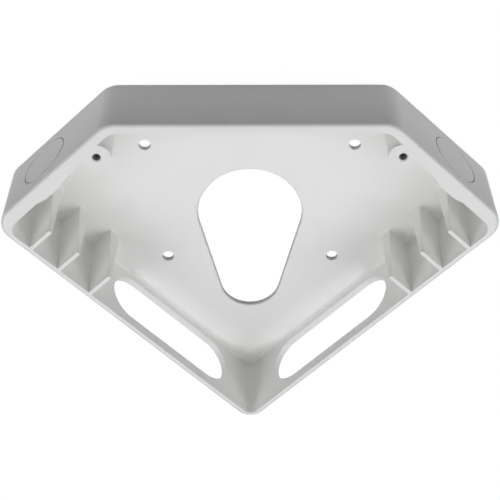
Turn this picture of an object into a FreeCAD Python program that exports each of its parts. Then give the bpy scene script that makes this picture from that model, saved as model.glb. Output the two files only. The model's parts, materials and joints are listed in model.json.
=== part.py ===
import FreeCAD, Part
import math
import os

# Corner bracket for a security camera: one die casting, modelled as one solid.
# Seen from above it is a square turned by 45 degrees with its front corner cut off.
# It is an open tray. Its flat floor carries the camera, and its open rim faces up here.
# The two long walls stand against the two walls of a building corner. They have a cable
# slot each. The two short walls have a round knock-out for a conduit, and the front wall
# joins them. Millimetres, +Z up, the corner of the building on the +Y side.
# The origin lies under the middle of the overall outline, on the underside.

# Outline, measured at the rim between the sharp corners that the walls would meet in
LONG_WALL = 171.0
SHORT_WALL = 77.8
HEIGHT = 38.0
DRAFT = 1.5                      # degrees that the upright faces lean for the die
LONG_WALL_DRAFT = 3.5            # the same for the long walls and the sides of their ribs

# Corners of the outline, outside and inside
APEX_RADIUS = 8.5
APEX_INNER_RADIUS = 4.5
SIDE_RADIUS = 10.5
SIDE_INNER_RADIUS = 6.0
FRONT_RADIUS = 12.0
FRONT_INNER_RADIUS = 8.0

# Thickness of the floor and, at the rim, of the walls
FLOOR = 3.0
LONG_WALL_THICKNESS = 3.0
FRONT_WALL_THICKNESS = 4.5
SHORT_WALL_THICKNESS = 5.0       # from the front corner to the screw boss
SHORT_WALL_STEP = 2.0            # the rest of the short wall is thicker by this much

# Rounded edges
UNDERSIDE_EDGE = 1.5
RIM_EDGE = 1.8                   # outside of the rim
FLOOR_FILLET = 0.7

# Ribs that stiffen the long walls, each standing square to the wall
RIBS_FROM_SHORT_WALL = (22.1, 39.6, 59.6)   # outside of the short wall to middle of rib
RIB_THICKNESS = 1.8              # at the rim
RIB_LENGTH = 14.0                # at the rim, from the inside of the long wall
RIB_END_RADIUS = 0.4
RIB_ROOT_RADIUS = 0.5

# Slot through each long wall, for the cable and for the hand at the anchors
SLOT_LENGTH = 76.5
SLOT_WIDTH = 26.4
SLOT_FROM_APEX = 59.8            # along the wall, sharp outer corner to middle of slot
SLOT_CENTRE_HEIGHT = 19.3

# Round knock-out in each short wall, a thin ring groove with a pry slot inside it
KNOCK_OUT_DIAMETER = 26.6        # middle of the groove
KNOCK_OUT_FROM_SIDE = 34.4       # along the wall, sharp side corner to middle
GROOVE_WIDTH = 0.8
GROOVE_DEPTH = 0.5
PRY_SLOT_LENGTH = 4.5
PRY_SLOT_WIDTH = 1.0
PRY_SLOT_FROM_CENTRE = 11.4
PRY_SLOT_ASIDE = 1.8             # towards the front corner
PAD_RADIUS = 20.4                # round pad behind the knock-out, on the inside
PAD_RISE = 1.3
PAD_EDGE = 1.0

# Tapped boss at each end of the front wall
BOSS_SPACING = 140.0
BOSS_FROM_FRONT = 17.5
BOSS_RADIUS = 6.8                # at the rim
BOSS_HOLE_RADIUS = 1.85
BOSS_HOLE_DEPTH = 16.0
BOSS_HOLE_CHAMFER = 0.6

# Floor: screw holes in two rows, and the pear-shaped cable opening between them
SCREW_HOLE_RADIUS = 2.9
FRONT_SCREW_SPACING = 100.0
REAR_SCREW_SPACING = 81.0
FRONT_SCREWS_FROM_FRONT = 33.0
SCREW_ROW_PITCH = 65.1
PEAR_FROM_FRONT = 72.5           # front wall to the middle of the large round
PEAR_RADIUS = 25.4
PEAR_TIP_RADIUS = 14.7
PEAR_TIP_OFFSET = 41.6           # between the middles of the two rounds
PEAR_EDGE = 1.0

# Worked out from the sizes above
LEAN = math.tan(math.radians(DRAFT))
LONG_LEAN = math.tan(math.radians(LONG_WALL_DRAFT))
MID_HEIGHT = HEIGHT / 2
HALF_SQUARE = LONG_WALL / 2                       # centre of the square to a long wall
FRONT_DISTANCE = SHORT_WALL / math.sqrt(2)        # centre of the square to the front wall
APEX_DISTANCE = LONG_WALL / math.sqrt(2) - APEX_RADIUS * (math.sqrt(2) - 1)
SQUARE_Y = (FRONT_DISTANCE - APEX_DISTANCE) / 2   # centre of the square, on the axis
FRONT_Y = SQUARE_Y - FRONT_DISTANCE               # outside of the front wall at the rim
OVERRUN = 2.0                                     # how far a cutting shape runs past a face


def plan(along, out, z):
    """Point beside the right-hand long wall.

    along runs from the middle of the square to the side corner, parallel to the long wall,
    and out runs square to it, from the middle of the square towards the wall.
    """
    root = math.sqrt(2)
    return FreeCAD.Vector((out + along) / root, SQUARE_Y + (out - along) / root, z)


def flat_sided(low, high):
    """Solid between a lower and an upper outline with the same number of corners."""
    faces = [Part.Face(Part.makePolygon(ring + ring[:1])) for ring in (low, high)]
    for i in range(len(low)):
        j = (i + 1) % len(low)
        side = [low[i], low[j], high[j], high[i], low[i]]
        faces.append(Part.Face(Part.makePolygon(side)))
    solid = Part.makeSolid(Part.makeShell(faces))
    if solid.Volume < 0:
        solid.reverse()
    return solid


def mirrored(shape):
    """The same shape on the left-hand side."""
    return shape.mirror(FreeCAD.Vector(0, 0, 0), FreeCAD.Vector(1, 0, 0))


def both_sides(shape):
    """The shape and its mirror image, as a list."""
    return [shape, mirrored(shape)]


def edges_where(shape, test):
    """Edges whose both ends and middle all pass the test."""
    chosen = []
    for edge in shape.Edges:
        first, last = edge.ParameterRange
        marks = (first, (first + last) / 2, last)
        if all(test(edge.valueAt(mark)) for mark in marks):
            chosen.append(edge)
    return chosen


def right_outline(z, long_in, short_in, front_in):
    """Right half of the outline at height z, each wall moved inwards by its own amount."""
    shrink = (HEIGHT - z) * LEAN
    out = HALF_SQUARE - long_in - (HEIGHT - z) * LONG_LEAN
    along = HALF_SQUARE - short_in - shrink
    front = FRONT_Y + front_in + shrink
    apex = FreeCAD.Vector(0, SQUARE_Y + out * math.sqrt(2), z)
    side = plan(along, out, z)
    corner = FreeCAD.Vector(along * math.sqrt(2) + front - SQUARE_Y, front, z)
    return apex, side, corner


def outline(z, long_in=0.0, short_in=0.0, front_in=0.0):
    """The five corners of the outline at height z."""
    apex, side, corner = right_outline(z, long_in, short_in, front_in)
    left = [FreeCAD.Vector(-p.x, p.y, p.z) for p in (corner, side)]
    return [apex, side, corner] + left


def upright_edges(shape, near, reach):
    """Leaning corner edges of the shape that stay within reach of a point, seen from above."""
    def close(point):
        return math.hypot(point.x - near.x, point.y - near.y) < reach
    return [edge for edge in edges_where(shape, close) if edge.BoundBox.ZLength > FLOOR]


def rounded_corners(shape, corners, radii):
    """Round the leaning edges at the given corners, each with its own radius."""
    for corner, radius in zip(corners, radii):
        shape = shape.makeFillet(radius, upright_edges(shape, corner, FLOOR))
    return shape


def outer_block():
    """The casting as a full block, leaning outwards to the rim, with its corners rounded."""
    block = flat_sided(outline(0.0), outline(HEIGHT))
    radii = (APEX_RADIUS, SIDE_RADIUS, FRONT_RADIUS, FRONT_RADIUS, SIDE_RADIUS)
    block = rounded_corners(block, outline(MID_HEIGHT), radii)
    underside = edges_where(block, lambda p: p.z < UNDERSIDE_EDGE / 2)
    block = block.makeFillet(UNDERSIDE_EDGE, underside)
    rim = edges_where(block, lambda p: p.z > HEIGHT - RIM_EDGE / 2)
    return block.makeFillet(RIM_EDGE, rim)


def boss_middle(z):
    """Middle of the right-hand screw boss at height z."""
    return FreeCAD.Vector(BOSS_SPACING / 2, FRONT_Y + BOSS_FROM_FRONT, z)


def tray_outline(z):
    """Inside of the walls at height z. The short wall steps to its thicker part at the boss."""
    thick = SHORT_WALL_THICKNESS + SHORT_WALL_STEP
    apex, side, _ = right_outline(z, LONG_WALL_THICKNESS, thick, FRONT_WALL_THICKNESS)
    _, _, corner = right_outline(z, LONG_WALL_THICKNESS, SHORT_WALL_THICKNESS,
                                 FRONT_WALL_THICKNESS)
    boss = boss_middle(z)
    step_out = (boss.x + boss.y - SQUARE_Y) / math.sqrt(2)
    step_along = HALF_SQUARE - thick - (HEIGHT - z) * LEAN
    steps = [plan(step_along, step_out, z), plan(step_along + SHORT_WALL_STEP, step_out, z)]
    right = [side] + steps + [corner]
    left = [FreeCAD.Vector(-p.x, p.y, p.z) for p in reversed(right)]
    return [apex] + right + left


def rib_outline(middle, z):
    """Four corners of a rib at height z, thicker towards the floor."""
    sink = (HEIGHT - z) * LONG_LEAN
    half = RIB_THICKNESS / 2 + sink
    root = HALF_SQUARE - LONG_WALL_THICKNESS / 2 - sink
    end = HALF_SQUARE - LONG_WALL_THICKNESS - RIB_LENGTH - (HEIGHT - z) * LEAN
    ends = ((middle - half, end), (middle + half, end), (middle + half, root),
            (middle - half, root))
    return [plan(along, out, z) for along, out in ends]


def rib(from_short_wall):
    """One rib of the right-hand long wall, with a rounded free end."""
    middle = HALF_SQUARE - from_short_wall
    solid = flat_sided(rib_outline(middle, 0.0), rib_outline(middle, HEIGHT + OVERRUN))
    free = rib_outline(middle, MID_HEIGHT)[:2]
    return rounded_corners(solid, free, (RIB_END_RADIUS, RIB_END_RADIUS))


def boss():
    """Right-hand screw boss as a tapering column."""
    top = HEIGHT + OVERRUN
    return Part.makeCone(BOSS_RADIUS + HEIGHT * LEAN, BOSS_RADIUS - OVERRUN * LEAN, top,
                         boss_middle(0.0))


def rib_roots(shape):
    """Edges of the hollow in which the ribs and the inside of the right long wall meet."""
    face_out = HALF_SQUARE - LONG_WALL_THICKNESS - MID_HEIGHT * LONG_LEAN
    half = RIB_THICKNESS / 2 + MID_HEIGHT * LONG_LEAN
    roots = []
    for from_short_wall in RIBS_FROM_SHORT_WALL:
        for side in (-half, half):
            near = plan(HALF_SQUARE - from_short_wall + side, face_out, MID_HEIGHT)
            roots += upright_edges(shape, near, HEIGHT * LONG_LEAN)
            near.x = -near.x
            roots += upright_edges(shape, near, HEIGHT * LONG_LEAN)
    return roots


def hollow():
    """The room inside the tray: everything between the walls, less the ribs and bosses."""
    room = flat_sided(tray_outline(FLOOR), tray_outline(HEIGHT + OVERRUN))
    apex, side, _, _, corner = tray_outline(MID_HEIGHT)[:5]
    corners = [apex, side, corner]
    radii = [APEX_INNER_RADIUS, SIDE_INNER_RADIUS, FRONT_INNER_RADIUS]
    corners += [FreeCAD.Vector(-p.x, p.y, p.z) for p in (side, corner)]
    radii += [SIDE_INNER_RADIUS, FRONT_INNER_RADIUS]
    room = rounded_corners(room, corners, radii)
    inserts = both_sides(boss())
    for from_short_wall in RIBS_FROM_SHORT_WALL:
        inserts += both_sides(rib(from_short_wall))
    room = room.cut(inserts)
    room = room.makeFillet(RIB_ROOT_RADIUS, rib_roots(room))
    foot = edges_where(room, lambda p: p.z < FLOOR + 0.01)
    return room.makeFillet(FLOOR_FILLET, foot)


def short_wall_axis(depth):
    """Base point and outward direction at the right knock-out, depth inside the outer face."""
    lean = math.radians(DRAFT)
    root = math.sqrt(2)
    outward = FreeCAD.Vector(math.cos(lean) / root, -math.cos(lean) / root, -math.sin(lean))
    face_along = HALF_SQUARE - (HEIGHT - MID_HEIGHT) * LEAN
    face = plan(face_along, HALF_SQUARE - KNOCK_OUT_FROM_SIDE, MID_HEIGHT)
    return face - outward * depth, outward


def knock_out_groove():
    """Ring groove that is sunk into the outside of the right short wall."""
    base, outward = short_wall_axis(GROOVE_DEPTH)
    mid = KNOCK_OUT_DIAMETER / 2
    height = GROOVE_DEPTH + OVERRUN
    ring = Part.makeCylinder(mid + GROOVE_WIDTH / 2, height, base, outward)
    return ring.cut(Part.makeCylinder(mid - GROOVE_WIDTH / 2, height, base, outward))


def pry_slot():
    """Slot for a screwdriver, inside the ring groove of the right short wall."""
    base, outward = short_wall_axis(GROOVE_DEPTH)
    along_wall = plan(0.0, 1.0, 0.0) - plan(0.0, 0.0, 0.0)
    up_wall = outward.cross(along_wall)
    if up_wall.z < 0:
        up_wall = up_wall * -1
    half_length = along_wall * (PRY_SLOT_LENGTH / 2)
    half_width = up_wall * (PRY_SLOT_WIDTH / 2)
    middle = base + up_wall * PRY_SLOT_FROM_CENTRE - along_wall * PRY_SLOT_ASIDE
    corners = [middle - half_length - half_width, middle + half_length - half_width,
               middle + half_length + half_width, middle - half_length + half_width]
    face = Part.Face(Part.makePolygon(corners + corners[:1]))
    return face.extrude(outward * (GROOVE_DEPTH + OVERRUN))


def knock_out_pad():
    """Round pad on the inside of the right short wall, with a sloping edge."""
    thick = (SHORT_WALL_THICKNESS + SHORT_WALL_STEP) * math.cos(math.radians(DRAFT))
    base, outward = short_wall_axis(thick + PAD_RISE)
    pad = Part.makeCylinder(PAD_RADIUS, PAD_RISE + thick / 2, base, outward)
    front_edge = edges_where(pad, lambda p: (p - base).dot(outward) < PAD_RISE / 2)
    pad = pad.makeChamfer(PAD_EDGE, front_edge)
    box = Part.makeBox(LONG_WALL, LONG_WALL, HEIGHT - FLOOR / 2,
                       FreeCAD.Vector(0, -LONG_WALL, FLOOR / 2))
    return pad.common(box)


def wall_slot():
    """Round-ended slot through the right-hand long wall."""
    radius = SLOT_WIDTH / 2
    half = SLOT_LENGTH / 2 - radius
    middle = SLOT_FROM_APEX - HALF_SQUARE
    depth = LONG_WALL_THICKNESS + HEIGHT * LONG_LEAN
    inside = HALF_SQUARE - depth - OVERRUN
    outward = plan(0.0, 1.0, 0.0) - plan(0.0, 0.0, 0.0)
    low, high = SLOT_CENTRE_HEIGHT - radius, SLOT_CENTRE_HEIGHT + radius
    first, last = middle - half, middle + half
    lines = [Part.LineSegment(plan(first, inside, low), plan(last, inside, low)),
             Part.Arc(plan(last, inside, low), plan(last + radius, inside, SLOT_CENTRE_HEIGHT),
                      plan(last, inside, high)),
             Part.LineSegment(plan(last, inside, high), plan(first, inside, high)),
             Part.Arc(plan(first, inside, high),
                      plan(first - radius, inside, SLOT_CENTRE_HEIGHT),
                      plan(first, inside, low))]
    wire = Part.Wire([line.toShape() for line in lines])
    return Part.Face(wire).extrude(outward * (depth + 2 * OVERRUN))


def pear_opening():
    """Cable opening in the floor: a large and a small round joined by their tangents."""
    large_y = FRONT_Y + PEAR_FROM_FRONT
    tip_y = large_y + PEAR_TIP_OFFSET
    slope = math.asin((PEAR_RADIUS - PEAR_TIP_RADIUS) / PEAR_TIP_OFFSET)
    across, rise = math.cos(slope), math.sin(slope)

    def touch(y, radius, side):
        return FreeCAD.Vector(side * radius * across, y + radius * rise, -OVERRUN)

    low = FreeCAD.Vector(0, large_y - PEAR_RADIUS, -OVERRUN)
    tip = FreeCAD.Vector(0, tip_y + PEAR_TIP_RADIUS, -OVERRUN)
    large = [touch(large_y, PEAR_RADIUS, side) for side in (1, -1)]
    small = [touch(tip_y, PEAR_TIP_RADIUS, side) for side in (1, -1)]
    lines = [Part.Arc(large[0], low, large[1]), Part.LineSegment(large[1], small[1]),
             Part.Arc(small[1], tip, small[0]), Part.LineSegment(small[0], large[0])]
    wire = Part.Wire([line.toShape() for line in lines])
    return Part.Face(wire).extrude(FreeCAD.Vector(0, 0, FLOOR + 2 * OVERRUN))


def floor_screw_holes():
    """The four plain screw holes of the floor."""
    rows = ((FRONT_SCREW_SPACING, FRONT_SCREWS_FROM_FRONT),
            (REAR_SCREW_SPACING, FRONT_SCREWS_FROM_FRONT + SCREW_ROW_PITCH))
    holes = []
    for spacing, from_front in rows:
        middle = FreeCAD.Vector(spacing / 2, FRONT_Y + from_front, -OVERRUN)
        hole = Part.makeCylinder(SCREW_HOLE_RADIUS, FLOOR + 2 * OVERRUN, middle)
        holes += both_sides(hole)
    return holes


def boss_hole():
    """Tapped hole of the right-hand boss at its core size, with its chamfered mouth."""
    hole = Part.makeCylinder(BOSS_HOLE_RADIUS, BOSS_HOLE_DEPTH + OVERRUN,
                             boss_middle(HEIGHT - BOSS_HOLE_DEPTH))
    mouth = BOSS_HOLE_CHAMFER + OVERRUN
    cone = Part.makeCone(BOSS_HOLE_RADIUS, BOSS_HOLE_RADIUS + mouth, mouth,
                         boss_middle(HEIGHT - BOSS_HOLE_CHAMFER))
    return hole.fuse(cone)


def on_pear_edge(point):
    """Whether a point lies on the upper edge of the pear-shaped opening."""
    return abs(point.z - FLOOR) < 0.01 and abs(point.x) < PEAR_RADIUS + 0.01


def corner_bracket():
    """The whole casting."""
    casting = outer_block().cut(hollow())
    casting = casting.fuse(both_sides(knock_out_pad()))
    cuts = floor_screw_holes() + [pear_opening()]
    cuts += both_sides(wall_slot()) + both_sides(boss_hole())
    cuts += both_sides(knock_out_groove()) + [pry_slot()]
    casting = casting.cut(cuts)
    pear = edges_where(casting, on_pear_edge)
    return casting.makeFillet(PEAR_EDGE, pear).removeSplitter()


if __name__ == "__main__":
    os.makedirs("parts", exist_ok=True)
    bracket = corner_bracket()
    bracket.exportStep("parts/corner_bracket.step")
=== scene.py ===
# %% [markdown]
# # A cast corner bracket for a security camera
# The bracket is one die casting under a light grey powder coat. The casting comes in from the
# frame at its real size. This file adds what a drawing leaves out: the coat's fine grain, the
# threads that were cut into the two screw bosses, the light and the camera.

# %% Load the frame
import json
import math

import bpy
import numpy as np
from mathutils import Matrix, Vector


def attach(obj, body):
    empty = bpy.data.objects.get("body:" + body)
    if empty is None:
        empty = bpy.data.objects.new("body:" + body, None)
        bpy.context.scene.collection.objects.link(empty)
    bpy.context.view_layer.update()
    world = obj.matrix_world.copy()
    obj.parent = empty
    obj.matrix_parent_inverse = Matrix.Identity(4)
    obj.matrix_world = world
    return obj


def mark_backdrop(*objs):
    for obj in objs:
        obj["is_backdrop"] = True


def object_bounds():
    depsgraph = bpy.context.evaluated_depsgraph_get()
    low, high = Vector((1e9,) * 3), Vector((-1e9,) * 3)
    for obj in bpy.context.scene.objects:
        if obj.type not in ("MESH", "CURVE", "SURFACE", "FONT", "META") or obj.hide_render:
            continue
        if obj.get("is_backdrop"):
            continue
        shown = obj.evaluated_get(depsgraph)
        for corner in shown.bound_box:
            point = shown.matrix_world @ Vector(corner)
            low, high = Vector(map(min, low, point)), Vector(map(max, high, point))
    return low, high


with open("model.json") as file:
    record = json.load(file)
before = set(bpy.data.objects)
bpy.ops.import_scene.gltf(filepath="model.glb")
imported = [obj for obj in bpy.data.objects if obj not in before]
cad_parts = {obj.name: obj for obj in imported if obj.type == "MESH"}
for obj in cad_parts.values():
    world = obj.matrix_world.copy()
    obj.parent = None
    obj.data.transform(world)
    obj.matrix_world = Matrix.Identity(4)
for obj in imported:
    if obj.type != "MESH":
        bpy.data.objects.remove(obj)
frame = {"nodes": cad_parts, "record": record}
low, high = (np.array(corner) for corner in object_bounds())
casting = frame["nodes"]["corner_bracket"]
mounts = {mount["name"]: mount for mount in frame["record"]["mounts"]}
print("casting", np.round((high - low) * 1000, 1), "mm,", len(casting.data.polygons), "faces")

# %% [markdown]
# ## Writing shader maths as expressions
# A node tree is easier to read as a formula. The class below wraps one output socket. Adding or
# multiplying two of them, or taking one from a number, puts a Math node into the tree and gives
# back its output, so a mask can be written as `1 - dust`. Every other node is made by one
# function that takes the node's type, its settings and the values or links of its sockets.

# %% Sockets that can be added, multiplied and taken from a number
class Value:
    """One output socket of a material's node tree, with arithmetic."""

    def __init__(self, tree, socket):
        self.tree, self.socket = tree, socket

    def math(self, operation, other):
        return node(self.tree, "ShaderNodeMath", {0: self, 1: other}, operation=operation)

    def __add__(self, other):
        return self.math("ADD", other)

    def __mul__(self, other):
        return self.math("MULTIPLY", other)

    def __rsub__(self, other):
        return node(self.tree, "ShaderNodeMath", {0: other, 1: self}, operation="SUBTRACT")


# %% One node, and one material
def node(tree, kind, values=None, output=0, **settings):
    """Adds one node: its settings first, then its sockets' values or links."""
    made = tree.nodes.new(kind)
    for name, setting in settings.items():
        setattr(made, name, setting)
    for name, value in (values or {}).items():
        socket = made.inputs[name]
        if isinstance(value, Value):
            tree.links.new(value.socket, socket)
        else:
            socket.default_value = value
    return Value(tree, made.outputs[output])


def new_material(name):
    """An empty material with its output node."""
    material = bpy.data.materials.new(name)
    material.use_nodes = True
    material.node_tree.nodes.clear()
    output = material.node_tree.nodes.new("ShaderNodeOutputMaterial")
    return material, material.node_tree, output


# %% [markdown]
# ## Grain for coat and metal
# Real surfaces differ a little from place to place. A photographed texture would blur close up
# and show where it repeats. Noise is worked out at every point instead, so it stays sharp. It
# reads Object coordinates, in metres, which ties its size to the metal and not to the picture.

# %% Noise of a real size
def noise(tree, size, detail=2.0):
    """Noise between 0 and 1 with features of about the given size in metres."""
    place = node(tree, "ShaderNodeTexCoord", output="Object")
    return node(tree, "ShaderNodeTexNoise",
                {"Vector": place, "Scale": 1 / size, "Detail": detail, "Roughness": 0.5})


# %% [markdown]
# ## Painted shade in the grooves of the knock-outs
# Each short wall has a ring groove around the disc that is knocked out for a conduit, and the
# right-hand one has a short pry slot inside the ring. Their bottoms get painted shade, a darker
# coat colour, while their sides still catch the light from above. Painting it on would need an
# unwrapped mesh. The frame already says where each disc is and which way it faces, so a distance
# test finds the bottoms: a little behind the wall's face and within reach of the disc's middle.

# %% Where the painted shade lies
# Painted shade lies between these depths behind a short wall's face, within this reach of the
# disc's middle.
GROOVE_SHADE_STARTS = 0.00042
GROOVE_SHADE_ENDS = 0.0010
GROOVE_SHADE_REACH = 0.0145


def groove_shade_mask(tree, knock_out):
    """1 at the bottom of one knock-out's grooves and 0 elsewhere.

    With c the middle of the disc's outer face and n the way it faces, a point p lies
    (c - p) . n behind that face and |p - c| from its middle.
    """
    place = node(tree, "ShaderNodeTexCoord", output="Object")
    inwards = node(tree, "ShaderNodeVectorMath", {0: knock_out["pos_m"], 1: place},
                   operation="SUBTRACT")
    depth = node(tree, "ShaderNodeVectorMath", {0: inwards, 1: knock_out["axis"]},
                 operation="DOT_PRODUCT", output="Value")
    reach = node(tree, "ShaderNodeVectorMath", {0: inwards}, operation="LENGTH", output="Value")
    return (depth.math("GREATER_THAN", GROOVE_SHADE_STARTS) * depth.math("LESS_THAN", GROOVE_SHADE_ENDS)
            * reach.math("LESS_THAN", GROOVE_SHADE_REACH))


print("dust lies from", round(GROOVE_SHADE_STARTS * 1000, 2), "mm behind each short wall's face")

# %% [markdown]
# ## The powder coat
# Powder is sprayed on dry and melts into one film. It hides the casting's own texture, but it
# keeps a faint orange peel, one to two millimetres across, and a finer grain between that. The
# colour hardly varies: the film is a touch lighter where it is thin and greyer where it pooled.
# The grain could be cut into the mesh, but it is far too fine to change the outline, so a Bump
# node only tilts the light on it.

# %% Powder coat
COAT_LIGHT = (0.920, 0.925, 0.897, 1.0)
COAT_GREY = (0.880, 0.885, 0.858, 1.0)
POOL_SIZE = 0.03
PEEL_SIZE = 0.0016
GRAIN_SIZE = 0.00035
GRAIN_HEIGHT = 0.00006
GRAIN_STRENGTH = 0.25
PEEL_SHARE = 0.6
SATIN = 0.42
SATIN_SPREAD = 0.12
SHINE = 0.4
# How much darker the painted shade makes the bottoms of the grooves.
PAINTED_GROOVE_SHADE = 0.45


def powder_coat():
    """Satin powder coat, with painted shade at the bottoms of the knock-outs' grooves."""
    material, tree, output = new_material("powder_coat_grey")
    pooled = noise(tree, POOL_SIZE, detail=3.0)
    peel = noise(tree, PEEL_SIZE)
    grain = noise(tree, GRAIN_SIZE, detail=1.0)
    # Painted shade at the bottoms of both knock-outs' grooves darkens the coat colour.
    painted_shade = groove_shade_mask(tree, mounts["right_knock_out"])
    painted_shade = painted_shade + groove_shade_mask(tree, mounts["left_knock_out"])
    colour = node(tree, "ShaderNodeMix", {"Factor": pooled, 6: COAT_LIGHT, 7: COAT_GREY},
                  output=2, data_type="RGBA")
    colour = node(tree, "ShaderNodeVectorMath", {0: colour, "Scale": 1 - painted_shade * PAINTED_GROOVE_SHADE},
                  operation="SCALE")
    bump = node(tree, "ShaderNodeBump", {"Strength": GRAIN_STRENGTH, "Distance": GRAIN_HEIGHT,
                                         "Height": peel * PEEL_SHARE + grain * (1 - PEEL_SHARE)})
    shader = node(tree, "ShaderNodeBsdfPrincipled",
                  {"Base Color": colour, "Roughness": peel * SATIN_SPREAD + SATIN,
                   "Normal": bump, "Specular IOR Level": SHINE})
    tree.links.new(shader.socket, output.inputs["Surface"])
    return material


coat = powder_coat()
for slot in casting.material_slots:
    slot.material = coat
print("coat on", len(casting.material_slots), "slot of", casting.name)

# %% [markdown]
# ## The threads in the two bosses
# The casting comes with plain holes at the threads' middle diameter. A real M4 thread is cut by
# a tap after coating, so its flanks are bare metal and look dark from above. Each thread is
# one helical surface inside its hole. Its radius depends only on how far a point lies from the
# thread's root, which climbs by one pitch in each turn, so the surface closes on itself. Carving
# the helix into the solid would look the same and cost the casting thousands of faces.

# %% Shape of a tapped thread
PITCH = 0.0007
THREAD_DEPTH = 0.0002
ROOT_CLEARANCE = 0.00002
CREST_STEEPNESS = 1.3
CREST_FLAT = 0.15
COLUMNS = 48
ROWS_PER_PITCH = 10


def thread_surface(middle, radius, bottom, top):
    """Helical surface of a tapped hole, facing the hole's axis.

    r(a, z) = radius - clearance - depth * crest(z / pitch - a / turn) * fade(z), where crest is
    a triangle wave from 0 to 1 with flattened tips, and fade runs the thread out at both ends.
    """
    turns = int((top - bottom) / PITCH)
    a, z = np.meshgrid(np.linspace(0, 2 * np.pi, COLUMNS, endpoint=False),
                       np.linspace(bottom, top, turns * ROWS_PER_PITCH + 1))
    phase = (z / PITCH - a / (2 * np.pi)) % 1.0
    wave = 1 - np.abs(2 * phase - 1)
    crest = np.clip(CREST_STEEPNESS * wave - CREST_FLAT, 0, 1)
    fade = np.clip(np.minimum(z - bottom, top - z) / PITCH, 0, 1)
    r = radius - ROOT_CLEARANCE - THREAD_DEPTH * crest * fade
    points = np.stack([middle[0] + r * np.cos(a), middle[1] + r * np.sin(a), z], axis=-1)
    row, column = np.meshgrid(np.arange(z.shape[0] - 1), np.arange(COLUMNS), indexing="ij")
    after = (column + 1) % COLUMNS
    quads = np.stack([row * COLUMNS + column, (row + 1) * COLUMNS + column,
                      (row + 1) * COLUMNS + after, row * COLUMNS + after], axis=-1)
    return points.reshape(-1, 3), quads.reshape(-1, 4)


print("thread", THREAD_DEPTH * 1000, "mm deep, one turn each", PITCH * 1000, "mm")

# %% Cut metal
METAL_GREY = (0.42, 0.42, 0.41, 1.0)
METAL_ROUGHNESS = 0.3
METAL_SPREAD = 0.2
TAP_MARK_SIZE = 0.0004


def bare_metal():
    """Cut aluminium, a little uneven from the tap."""
    material, tree, output = new_material("cut_aluminium")
    marks = noise(tree, TAP_MARK_SIZE)
    shader = node(tree, "ShaderNodeBsdfPrincipled",
                  {"Base Color": METAL_GREY, "Metallic": 1.0,
                   "Roughness": marks * METAL_SPREAD + METAL_ROUGHNESS})
    tree.links.new(shader.socket, output.inputs["Surface"])
    return material


metal = bare_metal()
print("metal", metal.name, "with marks of about", TAP_MARK_SIZE * 1000, "mm")

# %% Both threads, placed by the frame's boss holes
CHAMFER = 0.0006
END_GAP = 0.0001


def mesh_piece(name, points, faces, material):
    """A smooth-shaded piece that rides on the casting."""
    mesh = bpy.data.meshes.new(name)
    mesh.from_pydata(points.tolist(), [], faces.tolist())
    mesh.polygons.foreach_set("use_smooth", np.ones(len(faces), dtype=bool))
    mesh.materials.append(material)
    piece = bpy.data.objects.new(name, mesh)
    bpy.context.collection.objects.link(piece)
    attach(piece, "root")
    return piece


bosses = mounts["cover_bosses"]
hole_radius = bosses["dims"]["hole_r_mm"] / 1000
half_spacing = bosses["dims"]["spacing_x_mm"] / 2000
# The mount lies halfway down the holes, which start at the rim.
hole_bottom = 2 * bosses["pos_m"][2] - high[2]
for side, name in ((1, "thread_right"), (-1, "thread_left")):
    points, quads = thread_surface((side * half_spacing, bosses["pos_m"][1]), hole_radius,
                                   hole_bottom + END_GAP, high[2] - CHAMFER)
    thread = mesh_piece(name, points, quads, metal)
    print(thread.name, len(quads), "faces, from", round(hole_bottom * 1000, 1), "mm up")

# %% [markdown]
# ## What the bracket lies on
# In the picture the bracket lies with its open side up on white. One wide white floor would be
# simplest, but it lights the outer walls too much and too evenly. They are brighter at the foot
# than at the rim and darken towards the side corners, as over a small sheet of paper on a dark
# table. The walls of the floor's holes are dark, so a dark grey shade card, painted shade a little
# smaller than the bracket, lies right under the tray. All three show as white to the camera and
# keep a faint shadow, so that none of their edges can be seen.

# %% White to look at, grey as a light
SHADOW_SHARE = 0.10
WHITE = 1.05


def ground_material(name, grey, gleams=True):
    """White with a faint shadow to the camera, and grey where it lights the bracket.

    One that gleams is white to mirror-like reflections too.
    """
    material, tree, output = new_material(name)
    seen = node(tree, "ShaderNodeLightPath", output="Is Camera Ray")
    if gleams:
        seen = seen + node(tree, "ShaderNodeLightPath", output="Is Glossy Ray")
    bounce = node(tree, "ShaderNodeBsdfDiffuse", {"Color": (grey,) * 3 + (1.0,)})
    pale = node(tree, "ShaderNodeBsdfDiffuse", {"Color": (1.0, 1.0, 1.0, 1.0)})
    white = node(tree, "ShaderNodeEmission", {"Strength": WHITE})
    bright = node(tree, "ShaderNodeMixShader", {0: 1 - SHADOW_SHARE, 1: pale, 2: white})
    both = node(tree, "ShaderNodeMixShader", {0: seen, 1: bounce, 2: bright})
    tree.links.new(both.socket, output.inputs["Surface"])
    return material


# %% Table, paper and shade card
TABLE_GREY, TABLE_HALF, TABLE_HEIGHT = 0.03, 3.0, -0.0003
PAPER_GREY, PAPER_HALF, PAPER_HEIGHT = 0.70, 0.16, -0.0002
# The shade card is painted shade: a dark grey sheet right under the tray, so the walls of the
# floor's holes show dark.
SHADE_CARD_GREY, SHADE_CARD_SHARE, SHADE_CARD_HEIGHT = 0.15, 0.97, -0.0001
SHADE_CARD_DIRECTIONS = 64
FOOT_BAND = 0.0001


def flat_sheet(name, corners, height, material):
    """A flat sheet with the given corners."""
    points = np.column_stack([corners, np.full(len(corners), height)])
    mesh = bpy.data.meshes.new(name)
    mesh.from_pydata(points.tolist(), [], [tuple(range(len(corners)))])
    mesh.materials.append(material)
    sheet = bpy.data.objects.new(name, mesh)
    bpy.context.collection.objects.link(sheet)
    return sheet


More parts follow.
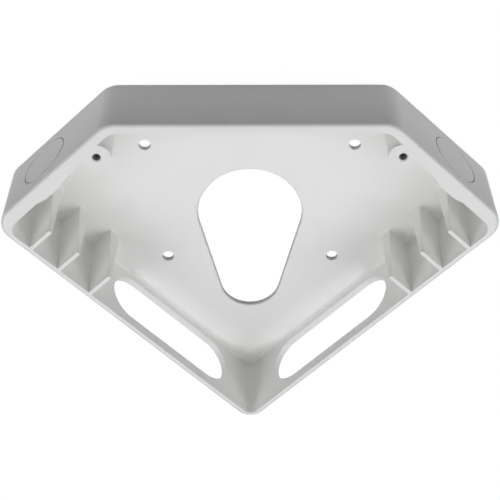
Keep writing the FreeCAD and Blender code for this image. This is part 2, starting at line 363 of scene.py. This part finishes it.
def footprint(share):
    """Outline of the casting's underside, drawn in: its farthest point in each direction."""
    vertices = np.empty(3 * len(casting.data.vertices))
    casting.data.vertices.foreach_get("co", vertices)
    vertices = vertices.reshape(-1, 3)
    feet = vertices[vertices[:, 2] < low[2] + FOOT_BAND, :2]
    turns = np.linspace(0, 2 * np.pi, SHADE_CARD_DIRECTIONS, endpoint=False)
    farthest = np.argmax(feet @ np.array([np.cos(turns), np.sin(turns)]), axis=0)
    return feet[farthest[farthest != np.roll(farthest, 1)]] * share


square = np.array([[-1, -1], [1, -1], [1, 1], [-1, 1]])
# Painted shade under the tray, drawn in from the casting's underside.
shade_card = flat_sheet("shade_card", footprint(SHADE_CARD_SHARE), SHADE_CARD_HEIGHT,
                  ground_material("painted_shade_card", SHADE_CARD_GREY, gleams=False))
paper = flat_sheet("paper", square * PAPER_HALF, PAPER_HEIGHT,
                   ground_material("paper_white", PAPER_GREY))
table = flat_sheet("table", square * TABLE_HALF, TABLE_HEIGHT,
                   ground_material("table_dark", TABLE_GREY))
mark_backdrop(table, paper, shade_card)
print("card with", len(shade_card.data.vertices), "corners")

# %% [markdown]
# ## The lamps
# The tray's concave corners hold clear shadows, so the light came from soft boxes and hardly
# from the room. Lamps can be set by eye, but each change shifts every tone at once. Here each
# kind of lamp was rendered alone, and their strengths were then solved for so that the sum
# gives the tones seen in the picture. What is left are four pairs, the same on both sides: a
# strong one beside the bracket and fainter ones overhead, behind and in front.

# %% Soft boxes
LAMP_SIZE = 0.5
LAMP_DISTANCE = 1.0
LAMP_COLOUR = (1.0, 0.995, 1.025)
# The turn, rise and light of each kind of lamp.
LAMPS = {"side": (0, 45, 0.318), "overhead": (0, 78, 0.080),
         "behind": (45, 50, 0.080), "front": (-45, 43, 0.068)}


def softbox(name, turn, rise, light):
    """A square soft lamp, turned from +X towards +Y and raised by these degrees.

    light is what falls on a surface at the origin that faces the lamp: a diffuse white there
    shows as this value, from a lamp of light * pi^2 * distance^2 watts.
    """
    lamp = bpy.data.lights.new(name, "AREA")
    lamp.shape, lamp.size = "SQUARE", LAMP_SIZE
    lamp.energy = light * math.pi ** 2 * LAMP_DISTANCE ** 2
    lamp.color = LAMP_COLOUR
    box = bpy.data.objects.new(name, lamp)
    turn, rise = math.radians(turn), math.radians(rise)
    direction = Vector((math.cos(rise) * math.cos(turn), math.cos(rise) * math.sin(turn),
                        math.sin(rise)))
    facing = direction.to_track_quat("Z", "Y").to_matrix().to_4x4()
    box.matrix_world = Matrix.Translation(direction * LAMP_DISTANCE) @ facing
    bpy.context.collection.objects.link(box)


for kind, (turn, rise, light) in LAMPS.items():
    softbox(kind + "_right", turn, rise, light)
    softbox(kind + "_left", 180 - turn, rise, light)
print(2 * len(LAMPS), "lamps, the strongest of",
      round(max(light for *_, light in LAMPS.values()) * math.pi ** 2 * LAMP_DISTANCE ** 2, 1), "W")

# %% [markdown]
# ## The room
# The picture's background is plain white. A white room around the bracket would also light it
# from all sides and wash out the shadows in its corners. So the room is white only where the
# camera looks straight at it, and gives no light.

# %% A room that is white to look at
world = bpy.data.worlds.new("room")
world.use_nodes = True
room = world.node_tree
room.nodes.clear()
seen = node(room, "ShaderNodeLightPath", output="Is Camera Ray")
sky = node(room, "ShaderNodeBackground", {"Color": (1.0, 1.0, 1.0, 1.0), "Strength": seen})
surroundings = room.nodes.new("ShaderNodeOutputWorld")
room.links.new(sky.socket, surroundings.inputs["Surface"])
bpy.context.scene.world = world
print("world", world.name)

# %% [markdown]
# ## The camera
# The picture is turned by half a turn: the bracket's front wall is at the top of it. The camera
# stands in front of that wall and looks down at the tray, with its own top towards the ground.
# A view set by eye is close at best. Its place, aim, tilt and lens were fitted to the bracket's
# corners and edges in the picture, so the outline falls within a pixel or two of its place.

# %% Camera
CAMERA_RISE = math.radians(54.23)
CAMERA_DISTANCE = 0.9572
AIM = Vector((0.0, 0.00865, 0.0026))
TILT = math.radians(0.11)
FOCAL_PIXELS = 1937.3
PICTURE = 500
SENSOR = 36.0

ahead = Vector((0.0, math.cos(CAMERA_RISE), -math.sin(CAMERA_RISE)))
right = Vector((1.0, 0.0, 0.0))
above = right.cross(ahead)
facing = Matrix((-right, -above, -ahead)).transposed().to_4x4()
camera_data = bpy.data.cameras.new("camera")
camera_data.sensor_width = SENSOR
camera_data.lens = FOCAL_PIXELS / PICTURE * SENSOR
camera = bpy.data.objects.new("camera", camera_data)
camera.matrix_world = (Matrix.Translation(AIM - ahead * CAMERA_DISTANCE) @ facing
                       @ Matrix.Rotation(-TILT, 4, "Z"))
bpy.context.collection.objects.link(camera)
bpy.context.scene.camera = camera
bpy.context.scene.view_settings.view_transform = "Standard"
print("lens", round(camera_data.lens, 1), "mm")
